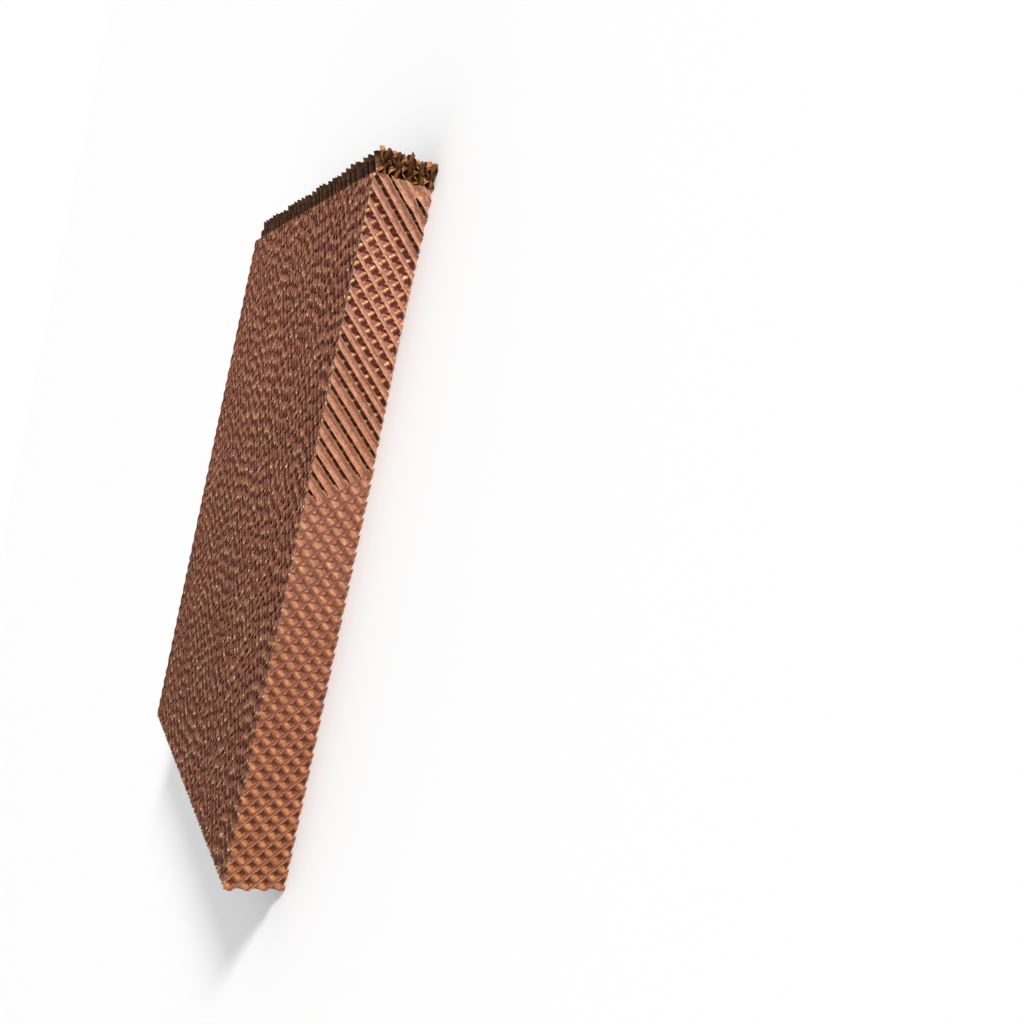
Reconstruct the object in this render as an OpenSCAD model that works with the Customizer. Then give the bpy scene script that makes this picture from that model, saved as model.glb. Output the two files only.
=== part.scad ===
// Evaporative cooling pad: a glued stack of corrugated cellulose sheets, with
// a water distribution strip along its top end. The pad lies flat on one air
// face. Height runs along Y, the stack along X and the air passes along Z.

/* [Pad] */
// Depth of the pad along the air path
pad_depth = 75; // [50:1:150]
// Height of the pad without its distribution strip
pad_height = 880; // [400:1:1600]
// Number of sheets in the glued stack
sheet_count = 100; // [60:2:140]

/* [Flutes] */
// Height of one corrugated sheet over its flutes
flute_height = 7; // [5:0.5:9]
// Flute pitch square to the flutes
flute_pitch = 15; // [12:0.5:20]
// Angle between the flutes and the pad's depth
flute_angle = 45; // [30:1:60]
// Thickness of the stiffened paper
paper = 0.3; // [0.2:0.05:0.5]
// Glue line between the crests of neighbouring sheets
glue_gap = 0.1; // [0.05:0.05:0.3]
// Shift of the flutes from one sheet to the next, as a part of the pitch
flute_drift = -0.16; // [-0.5:0.01:0.5]
// Start of the rising flutes, as a part of the pitch
rising_start = 0.827; // [0:0.001:1]
// Start of the falling flutes, as a part of the pitch
falling_start = 0.376; // [0:0.001:1]

/* [Single sheets] */
// Single sheets of each direction behind the sawn end
near_pairs = 6; // [2:1:10]
// Single sheets of each direction at the far end
far_pairs = 1; // [1:1:4]

/* [Sawn end] */
// Saw depth at the foot, from the outer sheet's middle, as a part of its height
saw_foot = 0.68; // [0.65:0.01:0.8]
// Saw depth at the tear
saw_middle = 0.61; // [0.59:0.01:0.65]
// Tilt of the saw cut across the pad's depth
saw_tilt = 0.5; // [0:0.1:0.6]
// Height at which the outer sheet's crests start to be torn, at the upper air face
tear_height = 478; // [300:1:600]
// How much higher they start at the lower air face
tear_slant = 55; // [0:1:100]
// Level left of the torn crests above the tear, as a part of the sheet's height
torn_start = 0.24; // [0.2:0.01:0.35]
// Level left where the crests are torn the most
torn_deep = -0.25; // [-0.3:0.01:0.1]
// Height where the crests are torn deeper, as a part of the pad's height
torn_fall = 0.68; // [0.6:0.01:0.75]
// Height where they start to be torn the most
deep_start = 0.815; // [0.78:0.005:0.84]
// Height where this ends
deep_end = 0.89; // [0.86:0.005:0.93]
// Height from which the crests are whole again
whole_start = 1; // [0.97:0.01:1.05]

/* [Distribution strip] */
// Length of the strip
strip_length = 672; // [300:1:900]
// Height of the strip above the pad
strip_height = 25; // [15:1:60]
// Number of sheets in the strip
strip_sheets = 10; // [6:2:20]
// Gap between the strip and the pad's top end
strip_seat = 0.1; // [0.05:0.05:0.3]

/* [Hidden] */

amp = (flute_height - glue_gap - paper) / 2;
coarse = 2;
fine = 6;
near_count = 2 * near_pairs + 2;
far_count = 2 * far_pairs;
layer_count = (sheet_count - near_count - far_count) / 2;
far_first = near_count + 2 * layer_count;
saw_edge = saw_foot * flute_height + tan(saw_tilt) * pad_depth / 2;
pad_width = saw_edge + (sheet_count - 1) * flute_height + amp + paper / 2;
full_height = pad_height + strip_seat + strip_height;
foot_y = -full_height / 2;
top_y = foot_y + pad_height;
strip_pitch = pad_depth * 0.973 / strip_sheets;
strip_amp = (strip_pitch - glue_gap - paper) / 2;
strip_x = pad_width / 2 - 1;
keep_deep = -3 * flute_height;
whole_level = 0.51 * flute_height;

// Middle of sheet i, counted from the sawn end
function sheet_x(i) = pad_width / 2 - saw_edge - i * flute_height;

// Flute shift of sheet i: the drift turns round after each run of sheets
run = 17;
function drifted(i) = flute_drift * (run - abs(abs(i) % (2 * run) - run));
function started(i) = i % 2 == 0 ? rising_start : falling_start;
function flute_shift(i) = flute_pitch * ((started(i) + drifted(i)) % 1);

// One edge of the paper across n flutes, k straight steps to a flute
function wave(a, k, n, off) = [
  for (j = [0 : k * n])
    [off + a * cos(360 * j / k), (j / k - n / 2) * flute_pitch]
];
function back(list) = [for (j = [len(list) - 1 : -1 : 0]) list[j]];

// A corrugated sheet, its flutes along Z and its waves along Y
module flutes(a, k, span) {
  n = 2 * ceil(span / flute_pitch / 2) + 4;
  linear_extrude(height = span * 1.5, center = true)
    polygon(concat(wave(a, k, n, paper / 2), back(wave(a, k, n, -paper / 2))));
}

// Half space behind one face of a corrugated sheet, on the side of face
module behind(a, k, span, face) {
  n = 2 * ceil(span / flute_pitch / 2) + 4;
  reach = -3 * face * flute_height;
  linear_extrude(height = span * 1.5, center = true)
    polygon(concat(
      wave(a, k, n, face * paper / 2),
      [[reach, n / 2 * flute_pitch], [reach, -n / 2 * flute_pitch]]
    ));
}

// Puts flutes at the place and slant of sheet i
module place(i, dir) {
  translate([sheet_x(i), foot_y + pad_height / 2, pad_depth / 2])
    rotate([dir * flute_angle, 0, 0])
      translate([0, flute_shift(i), 0])
        children();
}

// The pad's outline, long enough for every sheet
module trim() {
  translate([-pad_width, foot_y, 0])
    cube([2 * pad_width, pad_height, pad_depth]);
}

// Sheet i of the pad, its flutes leaning by dir
module sheet(i, dir, k) {
  intersection() {
    place(i, dir)
      flutes(amp, k, pad_height + pad_depth);
    trim();
  }
}

// Two glued sheets as one layer: rising flutes on one face, falling on the other
module layer(i) {
  span = pad_height + pad_depth;
  intersection() {
    place(i, -1)
      behind(amp, coarse, span, 1);
    place(i + 1, 1)
      behind(amp, coarse, span, -1);
    trim();
  }
}

// Quarter q of the layers in the middle of the stack
module layers(q) {
  first = floor((q - 1) * layer_count / 4);
  last = floor(q * layer_count / 4) - 1;
  color("#7d5643")
    for (j = [first : last])
      layer(near_count + 2 * j);
}

// All that lies inside the torn upper part, at one level along each rising crest
module torn_keep() {
  translate([sheet_x(0), foot_y, pad_depth / 2])
    multmatrix([[1, 0, 0, 0], [0, 1, tan(flute_angle), 0], [0, 0, 1, 0], [0, 0, 0, 1]])
      linear_extrude(height = pad_depth + 2, center = true)
        polygon([
          [keep_deep, -2 * pad_depth],
          [torn_start * flute_height, -2 * pad_depth],
          [torn_start * flute_height, torn_fall * pad_height],
          [torn_deep * flute_height, deep_start * pad_height],
          [torn_deep * flute_height, deep_end * pad_height],
          [whole_level, whole_start * pad_height],
          [whole_level, pad_height + 2 * pad_depth],
          [keep_deep, pad_height + 2 * pad_depth]
        ]);
}

// All that lies inside the saw cut below the slanted tear
module whole_keep() {
  tear_top = foot_y + tear_height + tear_slant;
  slope = tear_slant / pad_depth;
  intersection() {
    translate([sheet_x(0), 0, pad_depth / 2])
      rotate([0, -saw_tilt, 0])
        linear_extrude(height = pad_depth * 2, center = true)
          polygon([
            [keep_deep, foot_y - 1],
            [saw_foot * flute_height, foot_y - 1],
            [saw_foot * flute_height, foot_y],
            [saw_middle * flute_height, foot_y + tear_height],
            [saw_middle * flute_height, tear_top + 2],
            [keep_deep, tear_top + 2]
          ]);
    translate([sheet_x(0), 0, 0])
      rotate([90, 0, 90])
        linear_extrude(height = 8 * flute_height, center = true)
          polygon([
            [foot_y - 1, -1],
            [tear_top + slope, -1],
            [tear_top - tear_slant - slope, pad_depth + 1],
            [foot_y - 1, pad_depth + 1]
          ]);
  }
}

// Sheet k of the strip, its flutes leaning by dir
module strip_sheet(k, dir) {
  span = strip_length + strip_height;
  translate([strip_x - strip_length / 2, top_y + strip_seat + strip_height / 2, (k + 0.5) * strip_pitch])
    intersection() {
      rotate([0, 0, dir * flute_angle])
        rotate([0, 90, 0])
          translate([0, flute_shift(3 * k), 0])
            flutes(strip_amp, coarse, span);
      cube([strip_length, strip_height, 2 * strip_pitch], center = true);
    }
}

// Outermost sheet, its crests torn off above the slanted tear
module outer_sheet() {
  color("#c08a66")
    intersection() {
      sheet(0, -1, fine);
      union() {
        torn_keep();
        whole_keep();
      }
    }
}

// Strips left on the outermost sheet by the sheet that was sawn away
module outer_remains() {
  color("#a8744f")
    intersection() {
      sheet(-1, 1, fine);
      whole_keep();
    }
}

// Sheet behind the outermost one, seen through the sawn slots
module second_sheet() {
  color("#b07a50")
    sheet(1, 1, fine);
}

// Sheets with flutes that rise towards the upper air face, near the sawn end
module rising_sheets() {
  color("#96694e")
    for (i = [1 : near_pairs])
      sheet(2 * i, -1, coarse);
}

// Sheets with flutes that fall towards the upper air face, near the sawn end
module falling_sheets() {
  color("#8c6048")
    for (i = [1 : near_pairs])
      sheet(2 * i + 1, 1, coarse);
}

// The middle of the stack, in four groups of layers from the sawn end
module middle_layers_1() { layers(1); }
module middle_layers_2() { layers(2); }
module middle_layers_3() { layers(3); }
module middle_layers_4() { layers(4); }

// Last sheets with rising flutes, at the far end
module last_rising_sheet() {
  color("#96694e")
    for (i = [0 : far_pairs - 1])
      sheet(far_first + 2 * i, -1, coarse);
}

// Last sheets with falling flutes, at the far end
module last_falling_sheet() {
  color("#8c6048")
    for (i = [0 : far_pairs - 1])
      sheet(far_first + 2 * i + 1, 1, coarse);
}

// Every second sheet of the distribution strip
module strip_rising_sheets() {
  color("#4a3324")
    for (k = [0 : 2 : strip_sheets - 1])
      strip_sheet(k, 1);
}

// The sheets between them, their flutes the other way
module strip_falling_sheets() {
  color("#3e2a1e")
    for (k = [1 : 2 : strip_sheets - 1])
      strip_sheet(k, -1);
}

outer_sheet();
outer_remains();
second_sheet();
rising_sheets();
falling_sheets();
middle_layers_1();
middle_layers_2();
middle_layers_3();
middle_layers_4();
last_rising_sheet();
last_falling_sheet();
strip_rising_sheets();
strip_falling_sheets();
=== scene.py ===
"""Looks of an evaporative cooling pad: corrugated paper sheets glued crest to crest.

The pad lies on one air face. Its height runs along Y, the stack of sheets along X
towards the sawn end, and the air passes along Z. On every sheet u runs square to
the flutes and v along them, both at 45 degrees to the pad's edges.
"""
import math

import bpy
import numpy as np
from bpy.props import FloatProperty, FloatVectorProperty, IntProperty, PointerProperty
from mathutils import Matrix, Vector


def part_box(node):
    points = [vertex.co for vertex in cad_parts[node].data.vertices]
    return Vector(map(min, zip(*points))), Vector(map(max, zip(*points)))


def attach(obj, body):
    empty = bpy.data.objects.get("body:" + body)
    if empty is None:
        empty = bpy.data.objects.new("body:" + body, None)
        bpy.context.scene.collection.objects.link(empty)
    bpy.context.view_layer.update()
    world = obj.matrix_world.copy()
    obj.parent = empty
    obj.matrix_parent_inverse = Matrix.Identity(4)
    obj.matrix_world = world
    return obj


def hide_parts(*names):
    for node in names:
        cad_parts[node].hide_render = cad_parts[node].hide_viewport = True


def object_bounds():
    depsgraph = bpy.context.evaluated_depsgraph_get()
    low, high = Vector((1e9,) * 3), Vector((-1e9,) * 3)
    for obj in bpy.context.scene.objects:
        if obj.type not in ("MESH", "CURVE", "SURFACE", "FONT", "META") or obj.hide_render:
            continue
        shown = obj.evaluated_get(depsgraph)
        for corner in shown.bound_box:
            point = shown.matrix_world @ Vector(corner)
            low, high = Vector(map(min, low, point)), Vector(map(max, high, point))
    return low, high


bl_info = {
    "name": "Evaporative Cooling Pad",
    "version": (1, 0, 0),
    "blender": (4, 5, 0),
    "location": "View3D > Sidebar > Cooling Pad",
    "description": "Corrugated sheets, sawn end and distribution strip of a cooling pad",
    "category": "Object",
}

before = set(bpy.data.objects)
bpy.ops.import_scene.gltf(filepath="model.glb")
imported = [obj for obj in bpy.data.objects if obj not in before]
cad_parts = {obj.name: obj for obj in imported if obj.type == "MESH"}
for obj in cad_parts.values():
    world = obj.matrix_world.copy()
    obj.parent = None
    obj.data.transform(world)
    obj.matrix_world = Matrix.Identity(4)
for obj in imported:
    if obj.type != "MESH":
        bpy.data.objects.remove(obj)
CAD_LOW, CAD_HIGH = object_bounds()
STRIP_LOW, STRIP_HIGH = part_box("strip_rising_sheets")
PAD_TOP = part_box("second_sheet")[1].y
ROOT2 = math.sqrt(2)
TAU = 2 * math.pi
RISING, FALLING = -1, 1

# Levels to which the crests are torn: part of the pad's height, and level in millimetres
TORN_PATH = (
    (0.50, 2.0), (0.66, 1.8), (0.71, 1.0), (0.745, 0.15), (0.785, -1.15), (0.83, -2.1), (0.885, -2.2),
    (0.906, -1.9), (0.930, -0.4), (0.954, 1.2), (0.978, 2.45), (1.0, 3.5), (1.05, 3.6),
)
# Height over the tear in which the slots reach their width, and a whole crest's level in amplitudes
SLOT_START, WHOLE_CREST = 0.004, 1.02
# Level of the remains at the foot and at the tear, in millimetres, and how far they pass the tear
REMAINS_PATH, REMAINS_PAST = (4.7, 4.2), 0.001
# Broken patch near the top end: y and z from the pad's centre, its radius, and depths in it
BREAK_PLACE, BREAK_DEPTH, WRINKLE_DEPTH = (0.412, -0.0275, 0.018), 0.002, 0.002
# Wrinkles of that patch, in radians per metre along y and z
WRINKLES = ((820, 330), (450, -760))
# A trough is left out where its half angle or its length is smaller, and joined at nearly a half turn
THIN_TURN, SHORT_RUN, JOINED_TURN = 0.02, 1e-4, math.pi - 1e-3

# Wander of a sheet's flutes in pitches, what each pitch of stray adds to it, and its knots
WANDER, STRAY_WANDER, WANDER_KNOTS = 0.03, 0.6, 24
# Loss of flute height with its knots, and fray of the sheets' ends
SLACK, SLACK_KNOTS, END_FRAY = 0.03, 50, 0.0004
# Fine and slow parts of the saw's fray, with the slow one's knots
FINE_FRAY, SLOW_FRAY, FRAY_KNOTS = 0.6, 0.8, 9
# Reach of the glue spots along a valley and their highest level
GLUE_REACH, GLUE_LEVEL = 0.35, 0.15

# The strip's part of the pad's depth, and steps in the flute shift from sheet to sheet
STRIP_PART, STRIP_SHIFT = 0.973, 3
# Wander of the strip's flutes, in pitches, and columns between its knots
STRIP_WANDER, STRIP_WANDER_STEP = 0.55, 12
# Lumps of the strip's top, columns between their knots, and fine fray, in ragged heights
STRIP_LUMPS, STRIP_LUMP_STEP, STRIP_FRAY = 0.8, 14, 0.35
# How far the strip's top stands up, in ragged heights, also at the sawn end, and that end's length
STRIP_RISE, STRIP_END_RISE, STRIP_END_LENGTH = 1.5, 0.4, 0.09

# Points to a wave
SECOND_STEPS, INNER_STEPS, STRIP_STEPS = 20, 12, 10
# Seeds of the random draws
OUTER_SEED, REMAINS_SEED, SECOND_SEED, INNER_SEED, STRIP_SEED = 10, 11, 12, 100, 200
# Pieces of the stack behind the second sheet: name, sheets and CAD node
INNER_GROUPS = (
    ("near_rising_paper", range(2, 14, 2), "rising_sheets"),
    ("near_falling_paper", range(3, 14, 2), "falling_sheets"),
    ("middle_paper_1", range(14, 34), "middle_layers_1"),
    ("middle_paper_2", range(34, 56), "middle_layers_2"),
    ("middle_paper_3", range(56, 76), "middle_layers_3"),
    ("middle_paper_4", range(76, 98), "middle_layers_4"),
    ("last_rising_paper", range(98, 99), "last_rising_sheet"),
    ("last_falling_paper", range(99, 100), "last_falling_sheet"),
)
# Pieces of the strip: name, first sheet and CAD node
STRIP_GROUPS = (
    ("strip_rising_paper", 0, "strip_rising_sheets"),
    ("strip_falling_paper", 1, "strip_falling_sheets"),
)

# Y between which the lower part's colours give way to the upper part's
OUTER_STAIN, RIBBON_STAIN, INNER_FOOT_SPAN = (-0.40, 0.36), (-0.44, -0.22), (-0.45, 0.40)
# Z between which the second sheet turns dark towards the upper air face, as painted shade of its hollows
# there; further in, its lighter colours are painted light in the pockets' shade
POCKET_EDGE = (0.064, 0.071)
# X between which the strip's colours give way to the lighter ones of its sawn end, painted light on the
# end's cells
STRIP_END = (0.324, 0.342)
# Noise scales, in about as many features to the metre
FIBRES, GRAIN, CLOUDS, BLOTCHES, STAINS = 1400.0, 420.0, 260.0, 70.0, 9.0
PAPER_GLINTS, STRIP_SPOTS = 310.0, 150.0
# Noise values between which a tint turns from dark to light, and from which a spot shows
FINE_SPAN, WIDE_SPAN, STREAK_SPAN, SPOT_SPAN = (0.34, 0.66), (0.3, 0.7), (0.32, 0.68), (0.62, 0.67)
# Dark and light tints of the paper by its noises
GRAIN_TINT = (1.10, 0.92, 0.98), (1.0, 1.08, 0.80)
CLOUD_TINT = (0.76, 0.74, 0.74), (1.16, 1.16, 1.16)
BLOTCH_TINT = (0.86, 0.84, 0.82), (1.10, 1.10, 1.08)
FIBRE_TINT = (0.88, 0.88, 0.88), (1.10, 1.10, 1.10)
# How uneven the noise makes the crests' border, the stain's border and the painted shadow in the pits
CREST_WAVER, STAIN_WAVER, PIT_SHADE_WAVER = 1.2, 0.4, 0.4
# Glue marks between which a pit's painted shadow and the painted highlight on the glue spots grow, and the
# highlight's strength
PIT_SHADE_SPAN, GLUE_HIGHLIGHT_SPAN, GLUE_HIGHLIGHT_PART = (0.1, 0.75), (0.5, 1.0), 0.35
# Levels between which the crests' glints grow, and fibres between which a cut edge shows
GLINT_SPAN, CUT_SPAN = (0.2, 0.7), (0.2, 0.6)
# Part of a slot's width over which its crests turn from the painted direct light of their lower-left end to
# the golden of their upper-right end, painted partial shade
BRIGHT_SPAN = (0.35, 0.85)
# How much blotches and fibres change the roughness, and the fibres' part in the bumps
BLOTCH_GLOSS, FIBRE_GLOSS, FIBRE_BUMP = 0.35, 0.25, 0.5
BUMP_STRENGTH, BUMP_HEIGHT = 0.4, 0.0004
# Streaks: two axes, their lean, noise scale, dark and light tint, and how far they are drawn out
OUTER_STREAK = ((1, 2), RISING, 520.0, (0.80, 0.75, 0.72), (1.22, 1.26, 1.28))
STRIP_STREAK = ((1, 0), RISING, 120.0, (0.45, 0.43, 0.42), (1.75, 1.75, 1.75))
STREAK_DRAW = 0.06

# The camera's place, what it looks at, which way is up, its sensor and lens, and how far it sees
CAMERA_PLACE = (1.5225, 0.1049, 0.3917)
CAMERA_AIM = (0.6289, 0.0736, -0.0560)
CAMERA_UP = (-0.1228, 0.9765, 0.1769)
SENSOR, FOCAL, FAR_SIGHT = 36.0, 35.24, 200
# Where the key light comes from, and the floor
KEY_FROM = (0.85, 1.0, 0.32)
FLOOR_REACH, FLOOR_ROUGHNESS = 60.0, 0.8


def length(label, default, words):
    """A size in metres that a user may change."""
    return FloatProperty(name=label, description=words, default=default, unit="LENGTH", precision=5)


def share(label, default, words):
    """A plain number without a unit."""
    return FloatProperty(name=label, description=words, default=default, precision=4)


def colour(label, default, words):
    """A linear colour for the paper or the floor."""
    return FloatVectorProperty(name=label, description=words, default=default,
                               subtype="COLOR", size=3, min=0, max=1)


class PadSizes(bpy.types.PropertyGroup):
    """Sizes of the sheets, as in the part's source, and of their tear and fray."""

    sheet_count: IntProperty(name="Sheets", description="Sheets in the stack", default=100)
    flute_height: length("Flute height", 0.007, "Height of a sheet over its flutes")
    flute_pitch: length("Flute pitch", 0.015, "Pitch square to the flutes")
    paper: length("Paper", 0.0003, "Thickness of the stiffened paper")
    glue_gap: length("Glue line", 0.0001, "Gap between the crests of two sheets")
    flute_drift: share("Drift", -0.16, "Flute shift from sheet to sheet, in pitches")
    drift_run: IntProperty(name="Drift run", description="Sheets until the drift turns", default=17)
    rising_start: share("Rising start", 0.827, "Start of the rising flutes, in pitches")
    falling_start: share("Falling start", 0.376, "Start of the falling flutes, in pitches")
    tear_height: length("Tear height", 0.478, "Where the torn crests start, at the upper air face")
    tear_slant: length("Tear slant", 0.055, "How much higher they start at the lower air face")
    stray: share("Stray", 0.5, "How far the inner sheets' flutes stray, in pitches")
    # Pit shift places the painted shadows in the pits, and the painted glue highlights, this far from the
    # glue spots
    pit_shift: length("Pit shift", 0.0035, "How far the pits' dirt lies from the glue spots")
    saw_fray: length("Saw fray", 0.00022, "Unevenness of the sawn edges")
    strip_sheets: IntProperty(name="Strip sheets", description="Sheets in the strip", default=10)
    strip_ragged: length("Ragged top", 0.0035, "How far the strip's top edge is uneven")


class PadColours(bpy.types.PropertyGroup):
    """Linear colours of the paper, its sawn edges and its strip."""

    tan: colour("Tan paper", (0.38, 0.195, 0.137), "Outer paper in the upper part")
    tan_deep: colour("Tan valleys", (0.38, 0.182, 0.130), "Outer paper in the upper part's valleys")
    stained: colour("Stained paper", (0.330, 0.136, 0.061), "Outer paper in the lower part")
    stained_deep: colour("Stained valleys", (0.285, 0.106, 0.050), "Outer paper in the lower part's valleys")
    # Painted shadow: the pits' dark colour stands in for the shadows that the ribbons cast into the valleys
    pit_shadow: colour("Pits", (0.098, 0.033, 0.019), "Dirt in the pits of the lower part")
    ribbon_deep: colour("Ribbon troughs", (0.130, 0.030, 0.026), "Troughs of the remains")
    ribbon: colour("Ribbons", (0.185, 0.058, 0.040), "Rims of the remains in the middle")
    ribbon_foot: colour("Ribbons at the foot", (0.235, 0.105, 0.052), "Rims of the remains at the foot")
    # The crests' golden colour is resin and, at the upper right of each slot, painted partial shade; the tan
    # of their lower-left end is painted direct light
    crest: colour("Resin crests", (0.40, 0.220, 0.045), "Crests soaked with resin")
    crest_dull: colour("Dull crests", (0.40, 0.195, 0.105), "Crests at the lower side of the slots")
    # Painted light: the pockets and slopes of the second sheet are made lighter where they lie in shade; at
    # the upper air face, where light falls into them, they are made darker as painted shade of the hollows
    pocket: colour("Red pockets", (0.34, 0.094, 0.078), "Valleys of the second sheet")
    pocket_edge: colour("Edge pockets", (0.125, 0.046, 0.040), "Second sheet at the upper air face")
    brown: colour("Brown paper", (0.23, 0.082, 0.060), "Second sheet between crest and valley")
    # On the sheets within, the darker valleys are painted shade and the lighter crests painted light; all of
    # them are darker towards the foot
    inner_deep: colour("Inner valleys", (0.150, 0.049, 0.040), "Valleys of the sheets within")
    inner: colour("Inner paper", (0.200, 0.077, 0.054), "Slopes of the sheets within")
    inner_crest: colour("Inner crests", (0.34, 0.180, 0.085), "Crests of the sheets within")
    inner_edge: colour("Inner edges", (0.33, 0.18, 0.125), "Cut edges of the sheets within")
    foot_deep: colour("Foot valleys", (0.100, 0.034, 0.026), "Valleys of the sheets within, at the foot")
    foot: colour("Foot paper", (0.130, 0.052, 0.036), "Slopes of the sheets within, at the foot")
    foot_crest: colour("Foot crests", (0.250, 0.130, 0.062), "Crests of the sheets within, at the foot")
    glint: colour("Glints", (0.64, 0.45, 0.27), "Bright spots on the crests of the sheets within")
    edge: colour("Cut edges", (0.52, 0.29, 0.17), "Paper's cut edge")
    strip: colour("Strip paper", (0.020, 0.0078, 0.0030), "Paper of the distribution strip")
    strip_crest: colour("Strip crests", (0.048, 0.019, 0.0065), "Crests of the strip's paper")
    # Painted light: the strip's sawn end gets far lighter colours and bright spots than its sides, standing
    # in for its lit cells
    strip_end_deep: colour("Strip end valleys", (0.092, 0.040, 0.019), "Strip's valleys at the sawn end")
    strip_spot: colour("Strip spots", (0.52, 0.230, 0.080), "Bright spots on the strip's sawn end")
    strip_end: colour("Strip end", (0.225, 0.100, 0.0440), "Strip's paper at the sawn end")


class StageLooks(bpy.types.PropertyGroup):
    """Floor and light."""

    floor: colour("Floor", (0.90, 0.90, 0.90), "Pale floor")
    sky: share("Fill", 0.74, "Strength of the light from all round")
    key: share("Key", 4.9, "Strength of the soft key light")
    key_spread: share("Key spread", 9.0, "Spread of the key light in degrees")


class PadShape:
    """Places that follow from the sizes: the pad's box, its sheets and their waves."""

    def __init__(self, sizes):
        self.paper = sizes.paper
        self.pitch = sizes.flute_pitch
        self.rise = sizes.flute_height
        self.amp = (sizes.flute_height - sizes.glue_gap - sizes.paper) / 2
        self.count = sizes.sheet_count
        self.depth = CAD_HIGH.z - CAD_LOW.z
        self.height = PAD_TOP - CAD_LOW.y
        self.centre = np.array([0.0, (PAD_TOP + CAD_LOW.y) / 2, self.depth / 2])
        self.far_x = CAD_LOW.x + self.amp + self.paper / 2
        self.half_y, self.half_z = self.height / 2, self.depth / 2
        self.reach = (self.half_y + self.half_z) / ROOT2
        self.sizes = sizes

    def middle(self, i):
        """X of sheet i's mid plane, sheet 0 being the outermost at the sawn end."""
        return self.far_x + (self.count - 1 - i) * self.rise

    def lean(self, i):
        """Flute direction of sheet i: even sheets rise, odd sheets fall."""
        return RISING if i % 2 == 0 else FALLING

    def shift(self, i):
        """Flute shift of sheet i: its start plus a drift that turns round each run."""
        run = self.sizes.drift_run
        turns = run - abs(abs(i) % (2 * run) - run)
        start = self.sizes.rising_start if i % 2 == 0 else self.sizes.falling_start
        return self.pitch * ((start + self.sizes.flute_drift * turns) % 1)

    def above_tear(self, y, z):
        """Height over the slanted line where the torn part of the sawn face starts."""
        line = self.sizes.tear_height + self.sizes.tear_slant * (0.5 - z / self.depth)
        return y + self.half_y - line

    def crest_level(self, y, z):
        """Level over sheet 0's mid plane to which its crests are left.

        Every crest is torn alike over its length, so the level follows y - z. Below the
        tear the crests are whole, and over it the slots reach their width in a few millimetres.
        """
        up = (y - z) / self.height + 0.5
        torn = np.interp(up, [part for part, _ in TORN_PATH], [mm / 1000 for _, mm in TORN_PATH])
        whole = WHOLE_CREST * self.amp + self.paper
        start = np.clip(self.above_tear(y, z) / SLOT_START, 0, 1)
        return whole + (torn - whole) * np.sqrt(start) - BREAK_DEPTH * self.broken(y, z)

    def broken(self, y, z):
        """From 0 round the broken patch near the top end to 1 in its middle."""
        place_y, place_z, radius = BREAK_PLACE
        return np.clip(1 - np.hypot(y - place_y, z - place_z) ** 2 / radius ** 2, 0, 1)

    def crumple(self, y, z):
        """How far the paper of the broken patch is pushed out: wrinkles that cross each other."""
        wrinkles = sum(np.abs(np.sin(by_y * y + by_z * z)) for by_y, by_z in WRINKLES)
        return WRINKLE_DEPTH * self.broken(y, z) * wrinkles

    def remains_level(self, y, z):
        """Level over sheet 0's mid plane to which the sheet outside it is left, below the tear."""
        foot, tear = (mm / 1000 for mm in REMAINS_PATH)
        up = np.clip((y + self.half_y) / self.sizes.tear_height, 0, 1)
        left = foot + (tear - foot) * up
        return np.where(self.above_tear(y, z) < REMAINS_PAST, left, 0)


def flute_ends(u, low_y, high_y, half_z):
    """Both ends in v of the flute lines at u, inside y from low_y to high_y and |z| up to half_z.

    A flute line has y = (u + v) / root 2 and z = lean (u - v) / root 2, so that the ends are
    the same for either lean.
    """
    start = np.maximum(ROOT2 * low_y - u, u - ROOT2 * half_z)
    end = np.minimum(ROOT2 * high_y - u, u + ROOT2 * half_z)
    return start, np.maximum(start, end)


def across(u, v, lean):
    """The point (y, z) at u square to the flutes and v along them."""
    return (u + v) / ROOT2, lean * (u - v) / ROOT2


def flute_columns(pitch, shift, half_y, half_z, steps):
    """Values of u over the whole sheet, steps to a wave, with the corners' own lines."""
    reach = (half_y + half_z) / ROOT2
    corner = (half_y - half_z) / ROOT2
    first = math.ceil((-reach - shift) / pitch * steps)
    last = math.floor((reach - shift) / pitch * steps)
    inner = shift + np.arange(first, last + 1) * pitch / steps
    return np.unique(np.concatenate([inner, [-reach, -abs(corner), abs(corner), reach]]))


def slow_noise(rng, count, knots):
    """A smooth random line of count values between -1 and 1, with that many knots."""
    return np.interp(np.linspace(0, 1, count), np.linspace(0, 1, knots), rng.uniform(-1, 1, knots))


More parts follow.
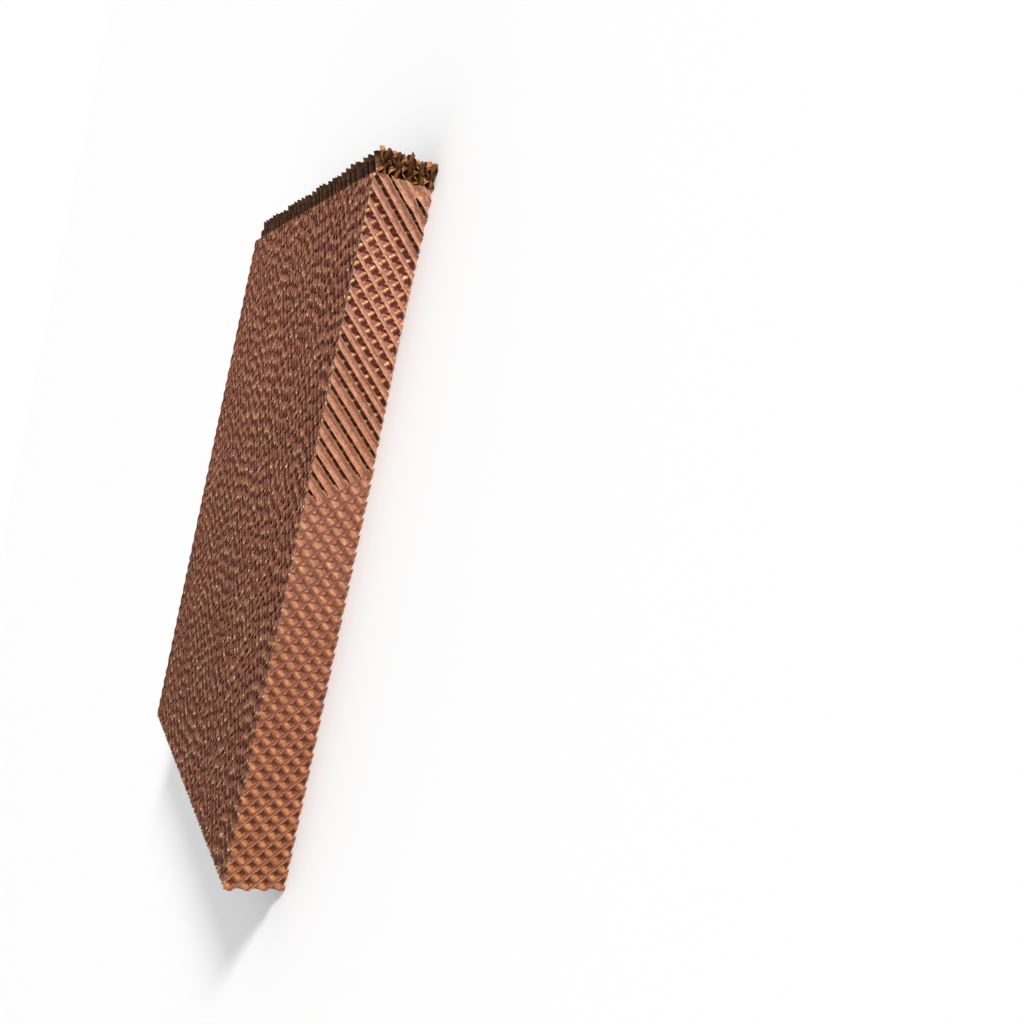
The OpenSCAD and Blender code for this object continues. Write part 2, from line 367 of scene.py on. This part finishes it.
class Patchwork:
    """Collects grids of points into one mesh with level, cut and glue on its vertices."""

    def __init__(self):
        self.points, self.faces, self.marks, self.size = [], [], [], 0

    def grid(self, points, level, cut=0.0, glue=0.0, flip=False, keep=None):
        """Adds a grid of rows by columns of points; keep masks its quads."""
        rows, cols = points.shape[:2]
        index = self.size + np.arange(rows * cols).reshape(rows, cols)
        corners = [index[:-1, :-1], index[:-1, 1:], index[1:, 1:], index[1:, :-1]]
        quads = np.stack(corners[::-1] if flip else corners, axis=-1)
        self.faces.append(quads.reshape(-1, 4) if keep is None else quads[keep])
        self.points.append(points.reshape(-1, 3))
        marks = [np.broadcast_to(m, (rows, cols)).ravel() for m in (level, cut, glue)]
        self.marks.append(np.stack(marks, axis=-1))
        self.size += rows * cols

    def piece(self, name, material, slot, node):
        """Makes the mesh from the points that faces use, and its object, which stands for that CAD node."""
        used, corners = np.unique(np.concatenate(self.faces), return_inverse=True)
        faces = corners.reshape(-1, 4).astype(np.int32)
        points = np.concatenate(self.points)[used].astype(np.float32)
        marks = np.concatenate(self.marks)[used].astype(np.float32)
        mesh = bpy.data.meshes.new(name)
        mesh.vertices.add(len(points))
        mesh.vertices.foreach_set("co", points.ravel())
        mesh.loops.add(faces.size)
        mesh.loops.foreach_set("vertex_index", faces.ravel())
        mesh.polygons.add(len(faces))
        mesh.polygons.foreach_set("loop_start", np.arange(0, faces.size, 4, dtype=np.int32))
        mesh.polygons.foreach_set("use_smooth", np.ones(len(faces), dtype=bool))
        for column, mark in enumerate(("level", "cut", "glue")):
            data = mesh.attributes.new(mark, "FLOAT", "POINT").data
            data.foreach_set("value", np.ascontiguousarray(marks[:, column]))
        mesh.update()
        mesh.validate()
        mesh.materials.append(material)
        made = bpy.data.objects.new(name, mesh)
        bpy.context.scene.collection.objects.link(made)
        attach(made, "root")
        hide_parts(node)


def stack_points(pad, x, y, z):
    """Points of a pad sheet from its x and its y and z from the pad's centre."""
    x, y, z = np.broadcast_arrays(x, y, z)
    return np.stack([x, y, z], axis=-1) + pad.centre


def add_both_faces(work, front, back, level, out):
    """Adds a sheet's two faces and the strips of paper that close its cut ends."""
    work.grid(front, level, flip=not out)
    work.grid(back, level, flip=out)
    work.grid(np.stack([front[0], back[0]]), level, cut=1.0, flip=out)
    work.grid(np.stack([front[1], back[1]]), level, cut=1.0, flip=not out)


def add_sheet(work, pad, i, steps, rng, stray=0.0):
    """Adds sheet i: x = middle + amp cos(2 pi (u - shift) / pitch), the same along v.

    Its two faces lie half the paper to either side of that wave.
    """
    lean = pad.lean(i)
    u = flute_columns(pad.pitch, pad.shift(i), pad.half_y, pad.half_z, steps)
    offset = rng.uniform(-stray, stray)
    wander = offset + (WANDER + STRAY_WANDER * stray) * slow_noise(rng, len(u), WANDER_KNOTS)
    wave = np.cos(TAU * ((u - pad.shift(i)) / pad.pitch + wander))
    swell = 1 - SLACK * np.abs(slow_noise(rng, len(u), SLACK_KNOTS))
    x = pad.middle(i) + pad.amp * swell * wave
    start, end = flute_ends(u, -pad.half_y, pad.half_y, pad.half_z)
    fray = rng.uniform(0, END_FRAY, (2, len(u)))
    halfway = (start + end) / 2
    v = np.stack([np.minimum(start + fray[0], halfway), np.maximum(end - fray[1], halfway)])
    y, z = across(u, v, lean)
    half = pad.paper / 2
    front = stack_points(pad, x + half, y, z)
    back = stack_points(pad, x - half, y, z)
    add_both_faces(work, front, back, wave, lean == RISING)


def sawn_fray(pad, rng, rows, side):
    """Unevenness of a trough's two sawn edges, one line of values for each side."""
    fine = rng.uniform(-1, 1, (rows, 2))
    slow = np.stack([slow_noise(rng, rows, FRAY_KNOTS), slow_noise(rng, rows, FRAY_KNOTS)], axis=1)
    rough = FINE_FRAY * fine + SLOW_FRAY * slow
    return pad.sizes.saw_fray * np.where(side < 0, rough[:, :1], rough[:, 1:])


def trough_face(pad, i, centre, level, offset, span, along):
    """One face of a trough: its points, wave, place along the trough, half angle and length."""
    lean = pad.lean(i)
    turn = np.arccos(np.clip(-(level - offset / pad.amp), -1, 1))
    psi = span * turn
    u = np.clip(centre + psi / TAU * pad.pitch, -pad.reach, pad.reach)
    start, end = flute_ends(u, -pad.half_y, pad.half_y, pad.half_z)
    y, z = across(u, start + along * (end - start), lean)
    x = pad.middle(i) - pad.amp * np.cos(psi) + offset + pad.crumple(y, z)
    other = (y - lean * z) / ROOT2
    return stack_points(pad, x, y, z), -np.cos(psi), other, turn, end - start


def add_sawn_sheet(work, pad, i, rng, rows=44, cols=13):
    """Adds what saw and tear left of sheet i: one trough for each of its valleys.

    A trough's cross-section is -amp cos(psi), with psi from minus to plus the angle at
    which the paper ends, acos(-level / amp). It is a half turn where the crests are whole,
    so that neighbouring troughs join there.
    """
    lean = pad.lean(i)
    out = lean == RISING
    outside = pad.middle(i) - pad.middle(0)
    first = math.floor((-pad.reach - pad.shift(i)) / pad.pitch - 1)
    valleys = pad.shift(i) + (first + 0.5 + np.arange(2 * pad.reach / pad.pitch + 3)) * pad.pitch
    along = np.linspace(0, 1, rows)[:, None]
    span = np.linspace(-1, 1, cols)[None, :]
    side = np.sign(span)
    half = pad.paper / 2
    for centre in valleys:
        flank = np.clip(centre + side * pad.pitch / 4, -pad.reach, pad.reach)
        start, end = flute_ends(flank, -pad.half_y, pad.half_y, pad.half_z)
        y, z = across(flank, start + along * (end - start), lean)
        fray = sawn_fray(pad, rng, rows, side)
        cut_level = pad.crest_level(y, z) if outside == 0 else pad.remains_level(y, z)
        level = (cut_level + fray - outside) / pad.amp
        front, wave, other, turn, run = trough_face(pad, i, centre, level, half, span, along)
        back, back_wave, *_ = trough_face(pad, i, centre, level, -half, span, along)
        wide = np.broadcast_to((turn > THIN_TURN) & (run > SHORT_RUN), wave.shape)
        keep = wide[:-1, :-1] | wide[1:, 1:]
        # Where the painted shadows in the pits and the painted highlights on the glue spots go, shifted from
        # the next sheet's glue spots
        along_pit = np.cos(TAU * (other - pad.shift(i + 1) + pad.sizes.pit_shift) / pad.pitch)
        glue = np.clip(GLUE_REACH + along_pit, 0, 1) * np.clip(GLUE_LEVEL - wave, 0, 1)
        shown = wave if outside == 0 else np.broadcast_to(2 * span ** 2 - 1, wave.shape)
        work.grid(front, shown, glue=glue, flip=not out, keep=keep)
        work.grid(back, back_wave, glue=glue, flip=out, keep=keep)
        for col in (0, -1):
            rim = np.stack([front[:, col], back[:, col]])
            sawn = (turn[:, col] < JOINED_TURN) & (turn[:, col] > THIN_TURN)
            work.grid(rim, wave[:, col], cut=1.0, flip=(col == 0) == out,
                      keep=(sawn[:-1] | sawn[1:])[None, :])
        for row in (0, -1):
            rim = np.stack([front[row], back[row]])
            work.grid(rim, wave[row], cut=1.0, flip=(row == -1) == (not out), keep=keep[row][None, :])


def add_strip_sheet(work, pad, k, rng):
    """Adds sheet k of the strip: z = middle - amp cos(2 pi (u - shift) / pitch), over x and y.

    Its top edge is uneven: the flute lines end over the strip's height in the frame, highest
    near the sawn end.
    """
    sizes = pad.sizes
    lean = FALLING if k % 2 else RISING
    half_x = (STRIP_HIGH.x - STRIP_LOW.x) / 2
    half_y = (STRIP_HIGH.y - STRIP_LOW.y) / 2
    shift = pad.shift(STRIP_SHIFT * k)
    u = flute_columns(pad.pitch, shift, half_y, half_x, STRIP_STEPS)
    layer = pad.depth * STRIP_PART / sizes.strip_sheets
    amp = (layer - sizes.glue_gap - sizes.paper) / 2
    wander = STRIP_WANDER * slow_noise(rng, len(u), len(u) // STRIP_WANDER_STEP)
    wave = np.cos(TAU * ((u - shift) / pad.pitch + wander))
    lumps = STRIP_LUMPS * slow_noise(rng, len(u), len(u) // STRIP_LUMP_STEP)
    fray = STRIP_FRAY * rng.uniform(-1, 1, len(u))
    from_end = half_x - lean * (u * ROOT2 - half_y)
    near_end = np.clip(1 - from_end / STRIP_END_LENGTH, 0, 1)
    rise = STRIP_RISE + STRIP_END_RISE * near_end - lumps - fray
    start, end = flute_ends(u, -half_y, half_y + sizes.strip_ragged * rise, half_x)
    y, x = across(u, np.stack([start, end]), lean)
    z = layer * (k + 0.5) - amp * wave
    centre = np.array([(STRIP_LOW.x + STRIP_HIGH.x) / 2, (STRIP_LOW.y + STRIP_HIGH.y) / 2, 0])
    half = sizes.paper / 2
    top = np.stack(np.broadcast_arrays(x, y, z + half), axis=-1) + centre
    under = np.stack(np.broadcast_arrays(x, y, z - half), axis=-1) + centre
    add_both_faces(work, top, under, -wave, lean == FALLING)


class Wire:
    """A shader socket that adds its own maths nodes when it is used in an expression."""

    def __init__(self, tree, socket):
        self.tree, self.socket = tree, socket

    def node(self, kind, settings=None, out=0, **inputs):
        """Adds any node: its type, its settings, its inputs by name or number, one output."""
        made = self.tree.nodes.new(kind)
        for key, value in (settings or {}).items():
            setattr(made, key, value)
        for key, value in inputs.items():
            numbered = key[0] == "i" and key[1:].isdigit()
            socket = made.inputs[int(key[1:]) if numbered else key.replace("_", " ")]
            if isinstance(value, Wire):
                self.tree.links.new(value.socket, socket)
            else:
                socket.default_value = value
        return Wire(self.tree, made.outputs[out])

    def maths(self, operation, a, b=0.0):
        """A Math node on two numbers or sockets."""
        return self.node("ShaderNodeMath", {"operation": operation}, i0=a, i1=b)

    def __add__(self, other):
        return self.maths("ADD", self, other)

    def __radd__(self, other):
        return self.maths("ADD", other, self)

    def __sub__(self, other):
        return self.maths("SUBTRACT", self, other)

    def __rsub__(self, other):
        return self.maths("SUBTRACT", other, self)

    def __mul__(self, other):
        return self.maths("MULTIPLY", self, other)

    def __rmul__(self, other):
        return self.maths("MULTIPLY", other, self)

    def __truediv__(self, other):
        return self.maths("DIVIDE", self, other)

    def __rtruediv__(self, other):
        return self.maths("DIVIDE", other, self)

    def between(self, low, high):
        """0 below low, 1 above high, and smooth between them."""
        return self.node("ShaderNodeMapRange", {"interpolation_type": "SMOOTHSTEP"},
                         Value=self, From_Min=low, From_Max=high)

    def mix(self, a, b):
        """Colour a where this is 0, and colour b where it is 1."""
        sides = [v if isinstance(v, Wire) else (*v, 1.0) for v in (a, b)]
        return self.node("ShaderNodeMix", {"data_type": "RGBA"}, out=2, i0=self, i6=sides[0], i7=sides[1])

    def tinted(self, tint):
        """This colour multiplied by a tint."""
        settings = {"data_type": "RGBA", "blend_type": "MULTIPLY"}
        return self.node("ShaderNodeMix", settings, out=2, i0=1.0, i6=self, i7=tint)

    def feed(self, shader, name):
        """Links this to one of the shader's inputs."""
        self.tree.links.new(self.socket, shader.inputs[name])


def new_material(name):
    """A node material, its Principled shader and a first wire on its Object coordinates."""
    material = bpy.data.materials.new(name)
    material.use_nodes = True
    tree = material.node_tree
    shader = tree.nodes["Principled BSDF"]
    place = Wire(tree, tree.nodes.new("ShaderNodeTexCoord").outputs["Object"])
    return material, shader, place


def attribute(wire, name):
    """A value that the piece carries on its vertices."""
    return wire.node("ShaderNodeAttribute", {"attribute_name": name}, out=2)


def noise(place, scale, detail=2.0):
    """Noise on Object coordinates, features of about 1 / scale metres."""
    return place.node("ShaderNodeTexNoise", Vector=place, Scale=scale, Detail=detail)


def along_axis(place, axis):
    """One of the three coordinates, by number."""
    return place.node("ShaderNodeSeparateXYZ", out=axis, Vector=place)


def by_level(level, blotch, colours, crest_span):
    """Colour of the paper from valley over slope to crest, with an uneven border at the crest."""
    valley, slope, crest = colours
    low = level.between(-1.0, 0.0).mix(valley, slope)
    return (level + (blotch - 0.5) * CREST_WAVER).between(*crest_span).mix(low, crest)


def slot_side(place, pad):
    """From 0 at the lower left side of each slot to 1 at its upper right side."""
    y, z = along_axis(place, 1), along_axis(place, 2)
    start = float(pad.centre[1] - pad.centre[2]) + ROOT2 * pad.shift(0)
    turn = (y - z - start) * (TAU / (ROOT2 * pad.pitch))
    return turn.maths("SINE", turn) * 0.5 + 0.5


def streaks(place, axes, lean, scale):
    """Noise stretched along the lines on which one axis plus lean times the other stays the same."""
    one, two = (along_axis(place, axis) for axis in axes)
    drawn = place.node("ShaderNodeCombineXYZ", X=one + two * lean, Y=(one - two * lean) * STREAK_DRAW)
    return noise(drawn, scale, 3.0)


def paper_tints(place, grain, blotch, fibres, streak):
    """Tints by which the paper's colour is multiplied, from fine grain to streaks."""
    tints = [grain.between(*FINE_SPAN).mix(*GRAIN_TINT),
             noise(place, CLOUDS).between(*FINE_SPAN).mix(*CLOUD_TINT),
             blotch.between(*WIDE_SPAN).mix(*BLOTCH_TINT),
             fibres.between(*WIDE_SPAN).mix(*FIBRE_TINT)]
    if streak:
        *course, dark, light = streak
        tints.append(streaks(place, *course).between(*STREAK_SPAN).mix(dark, light))
    return tints


def paper_material(name, upper, edge, lower, span, axis=1, pit_shadow=None, glint=None, glint_scale=PAPER_GLINTS,
                   glint_upper=False, crest_span=(0.4, 1.0), dull=None, pad=None, streak=None,
                   gloss=0.5, sheen=0.3):
    """Stiffened paper: valley, slope and crest colours by level, fibres, blotches and cut edges.

    The lower colours take the place of the upper ones below the span along the axis.
    A painted pit shadow lies near where the next sheet's crests are glued on, a painted highlight
    on those glue spots, and a glint colour on small spots, of the crests or of all that has the
    upper colours. A lit-end colour lies on the crests at one side of the pad's slots, as painted
    direct light, and the usual crest colour at their other side stands for partial shade.
    """
    material, shader, place = new_material(name)
    level = attribute(place, "level")
    fibres = noise(place, FIBRES, 3.0)
    grain = noise(place, GRAIN)
    blotch = noise(place, BLOTCHES, 3.0)
    # Painted light and shade across each slot: tan where light falls straight on the crests, golden in the
    # outer sheet's partial shade
    if dull:
        bright = slot_side(place, pad).between(*BRIGHT_SPAN)
        upper, lower = ((*three[:2], bright.mix(dull, three[2])) for three in (upper, lower))
    waver = (noise(place, STAINS) - 0.5) * (STAIN_WAVER * (span[1] - span[0]))
    upward = (along_axis(place, axis) + waver).between(*span)
    body = upward.mix(by_level(level, blotch, lower, crest_span), by_level(level, blotch, upper, crest_span))
    for tint in paper_tints(place, grain, blotch, fibres, streak):
        body = body.tinted(tint)
    glue = attribute(place, "glue")
    # Painted highlight: the glue spots turn partly to the cut edge's lighter colour
    body = (glue.between(*GLUE_HIGHLIGHT_SPAN) * GLUE_HIGHLIGHT_PART).mix(body, edge)
    # Painted shadow in the pits of the lower part
    if pit_shadow:
        pit_shade = (glue + (grain - 0.5) * PIT_SHADE_WAVER).between(*PIT_SHADE_SPAN) * (1.0 - upward)
        body = pit_shade.mix(body, pit_shadow)
    if glint:
        spots = noise(place, glint_scale, 1.0).between(*SPOT_SPAN)
        spots = spots * (upward if glint_upper else level.between(*GLINT_SPAN))
        body = spots.mix(body, glint)
    body = (attribute(place, "cut") * fibres.between(*CUT_SPAN)).mix(body, edge)
    body.feed(shader, "Base Color")
    rough = gloss + (blotch - 0.5) * BLOTCH_GLOSS + (fibres - 0.5) * FIBRE_GLOSS
    rough.feed(shader, "Roughness")
    bump = place.node("ShaderNodeBump", Height=fibres * FIBRE_BUMP + grain, Strength=BUMP_STRENGTH,
                      Distance=BUMP_HEIGHT)
    bump.feed(shader, "Normal")
    shader.inputs["Specular IOR Level"].default_value = sheen
    return material


def pad_shape():
    """The pad's shape from the scene's sizes."""
    return PadShape(bpy.context.scene.pad_sizes)


def tones():
    """The paper's colours as plain tuples, by name."""
    looks = bpy.context.scene.pad_colours
    return {key: tuple(getattr(looks, key)) for key in PadColours.__annotations__}


class PAD_OT_outer_sheet(bpy.types.Operator):
    """Build the outermost sheet, its crests torn off in the upper part"""

    bl_idname = "cooling_pad.outer_sheet"
    bl_label = "Outer Sheet"

    def execute(self, context):
        pad, tone, work = pad_shape(), tones(), Patchwork()
        add_sawn_sheet(work, pad, 0, np.random.default_rng(OUTER_SEED))
        upper = tone["tan_deep"], tone["tan"], tone["tan"]
        lower = tone["stained_deep"], tone["stained"], tone["stained"]
        paper = paper_material("tan_outer_paper", upper, tone["edge"], lower, OUTER_STAIN,
                               pit_shadow=tone["pit_shadow"], streak=OUTER_STREAK)
        work.piece("sawn_outer_paper", paper, "tan_paper", "outer_sheet")
        return {"FINISHED"}


class PAD_OT_outer_remains(bpy.types.Operator):
    """Build the ribbons left on the outermost sheet by the sheet that was sawn away"""

    bl_idname = "cooling_pad.outer_remains"
    bl_label = "Outer Remains"

    def execute(self, context):
        pad, tone, work = pad_shape(), tones(), Patchwork()
        add_sawn_sheet(work, pad, -1, np.random.default_rng(REMAINS_SEED), cols=5)
        upper = tone["ribbon_deep"], tone["ribbon"], tone["ribbon"]
        lower = tone["ribbon_deep"], tone["ribbon_foot"], tone["ribbon_foot"]
        paper = paper_material("tan_remains_paper", upper, tone["ribbon"], lower, RIBBON_STAIN)
        work.piece("glued_paper_remains", paper, "tan_paper", "outer_remains")
        return {"FINISHED"}


class PAD_OT_second_sheet(bpy.types.Operator):
    """Build the sheet that shows through the slots"""

    bl_idname = "cooling_pad.second_sheet"
    bl_label = "Second Sheet"

    def execute(self, context):
        pad, tone, work = pad_shape(), tones(), Patchwork()
        add_sheet(work, pad, 1, SECOND_STEPS, np.random.default_rng(SECOND_SEED))
        # Painted shade at the upper air face, painted light in the pockets further in
        upper = tone["pocket_edge"], tone["pocket_edge"], tone["crest"]
        lower = tone["pocket"], tone["brown"], tone["crest"]
        paper = paper_material("resin_crest_paper", upper, tone["edge"], lower, POCKET_EDGE, axis=2,
                               glint=tone["glint"], crest_span=(0.6, 0.95), dull=tone["crest_dull"],
                               pad=pad, gloss=0.4, sheen=0.2)
        work.piece("second_sheet_paper", paper, "tan_paper", "second_sheet")
        return {"FINISHED"}


class PAD_OT_inner_sheets(bpy.types.Operator):
    """Build all other sheets of the stack, in groups from the sawn end to the far end"""

    bl_idname = "cooling_pad.inner_sheets"
    bl_label = "Inner Sheets"

    def execute(self, context):
        pad, tone = pad_shape(), tones()
        # Painted shade in the valleys and painted light on the crests
        upper = tone["inner_deep"], tone["inner"], tone["inner_crest"]
        lower = tone["foot_deep"], tone["foot"], tone["foot_crest"]
        paper = paper_material("brown_inner_paper", upper, tone["inner_edge"], lower, INNER_FOOT_SPAN,
                               glint=tone["glint"], sheen=0.1)
        for name, sheets, node in INNER_GROUPS:
            work = Patchwork()
            rng = np.random.default_rng(INNER_SEED + sheets[0])
            for i in sheets:
                add_sheet(work, pad, i, INNER_STEPS, rng, pad.sizes.stray)
            work.piece(name, paper, "brown_paper", node)
        return {"FINISHED"}


class PAD_OT_strip(bpy.types.Operator):
    """Build the distribution strip on the pad's top end"""

    bl_idname = "cooling_pad.strip"
    bl_label = "Distribution Strip"

    def execute(self, context):
        pad, tone = pad_shape(), tones()
        # Painted light on the sawn end's cells
        upper = tone["strip_end_deep"], tone["strip_end"], tone["strip_end"]
        lower = tone["strip"], tone["strip"], tone["strip_crest"]
        paper = paper_material("dark_strip_paper", upper, tone["strip_crest"], lower, STRIP_END, axis=0,
                               glint=tone["strip_spot"], glint_scale=STRIP_SPOTS, glint_upper=True,
                               streak=STRIP_STREAK, gloss=0.65, sheen=0.06)
        for name, first, node in STRIP_GROUPS:
            work = Patchwork()
            rng = np.random.default_rng(STRIP_SEED + first)
            for k in range(first, pad.sizes.strip_sheets, 2):
                add_strip_sheet(work, pad, k, rng)
            work.piece(name, paper, "dark_paper", node)
        return {"FINISHED"}


def lay_floor(scene, looks):
    """Lays the pale floor, which belongs to the stage and not to the pad."""
    mesh = bpy.data.meshes.new("pale_floor")
    far = FLOOR_REACH
    corners = (-far, -far, 0), (far, -far, 0), (far, far, 0), (-far, far, 0)
    mesh.from_pydata(corners, [], [(0, 1, 2, 3)])
    floor = bpy.data.objects.new("pale_floor", mesh)
    scene.collection.objects.link(floor)
    material, shader, _ = new_material("pale_floor")
    shader.inputs["Base Color"].default_value = (*looks.floor, 1)
    shader.inputs["Roughness"].default_value = FLOOR_ROUGHNESS
    mesh.materials.append(material)


def set_light(scene, looks):
    """Lights the pad from all round and with a soft key light; the camera sees a white room."""
    world = bpy.data.worlds.new("soft_room")
    world.use_nodes = True
    room = world.node_tree.nodes["Background"]
    room.inputs["Color"].default_value = (1, 1, 1, 1)
    seen = Wire(world.node_tree, room.outputs[0]).node("ShaderNodeLightPath", out="Is Camera Ray")
    bright = looks.sky + seen * (1 - looks.sky)
    bright.feed(room, "Strength")
    scene.world = world
    sun = bpy.data.lights.new("soft_key", "SUN")
    sun.energy = looks.key
    sun.angle = math.radians(looks.key_spread)
    key = bpy.data.objects.new("soft_key", sun)
    key.rotation_mode = "QUATERNION"
    key.rotation_quaternion = Vector(KEY_FROM).to_track_quat("Z", "Y")
    scene.collection.objects.link(key)


def place_camera(scene):
    """Places the camera where the photo's camera stood."""
    lens = bpy.data.cameras.new("photo_camera")
    lens.sensor_width, lens.lens = SENSOR, FOCAL
    lens.clip_end = FAR_SIGHT
    camera = bpy.data.objects.new("photo_camera", lens)
    ahead = (Vector(CAMERA_AIM) - Vector(CAMERA_PLACE)).normalized()
    right = ahead.cross(Vector(CAMERA_UP)).normalized()
    turned = Matrix((right, right.cross(ahead), -ahead)).transposed()
    camera.matrix_world = Matrix.Translation(CAMERA_PLACE) @ turned.to_4x4()
    scene.collection.objects.link(camera)
    scene.camera = camera


class PAD_OT_stage(bpy.types.Operator):
    """Lay the pale floor, set the soft light and place the camera"""

    bl_idname = "cooling_pad.stage"
    bl_label = "Stage"

    def execute(self, context):
        scene, looks = context.scene, context.scene.pad_stage
        lay_floor(scene, looks)
        set_light(scene, looks)
        place_camera(scene)
        scene.view_settings.view_transform = "Standard"
        return {"FINISHED"}


class PAD_PT_panel(bpy.types.Panel):
    """Sizes, colours and build buttons of the cooling pad"""

    bl_idname = "PAD_PT_panel"
    bl_label = "Cooling Pad"
    bl_space_type = "VIEW_3D"
    bl_region_type = "UI"
    bl_category = "Cooling Pad"

    def draw(self, context):
        for group in (context.scene.pad_sizes, context.scene.pad_colours, context.scene.pad_stage):
            box = self.layout.box()
            for key in type(group).__annotations__:
                box.prop(group, key)
        for operator in OPERATORS:
            self.layout.operator(operator.bl_idname)


GROUPS = {"pad_sizes": PadSizes, "pad_colours": PadColours, "pad_stage": StageLooks}
OPERATORS = (PAD_OT_outer_sheet, PAD_OT_outer_remains, PAD_OT_second_sheet,
             PAD_OT_inner_sheets, PAD_OT_strip, PAD_OT_stage)


def register():
    """Registers the classes and hangs the property groups on the scene."""
    for cls in (*GROUPS.values(), *OPERATORS, PAD_PT_panel):
        bpy.utils.register_class(cls)
    for name, cls in GROUPS.items():
        setattr(bpy.types.Scene, name, PointerProperty(type=cls))


def unregister():
    """Takes the property groups and classes away again."""
    for name in GROUPS:
        delattr(bpy.types.Scene, name)
    for cls in reversed((*GROUPS.values(), *OPERATORS, PAD_PT_panel)):
        bpy.utils.unregister_class(cls)


def main():
    """Builds every piece and the stage."""
    register()
    bpy.ops.cooling_pad.outer_sheet()
    bpy.ops.cooling_pad.outer_remains()
    bpy.ops.cooling_pad.second_sheet()
    bpy.ops.cooling_pad.inner_sheets()
    bpy.ops.cooling_pad.strip()
    bpy.ops.cooling_pad.stage()


if __name__ == "__main__":
    main()
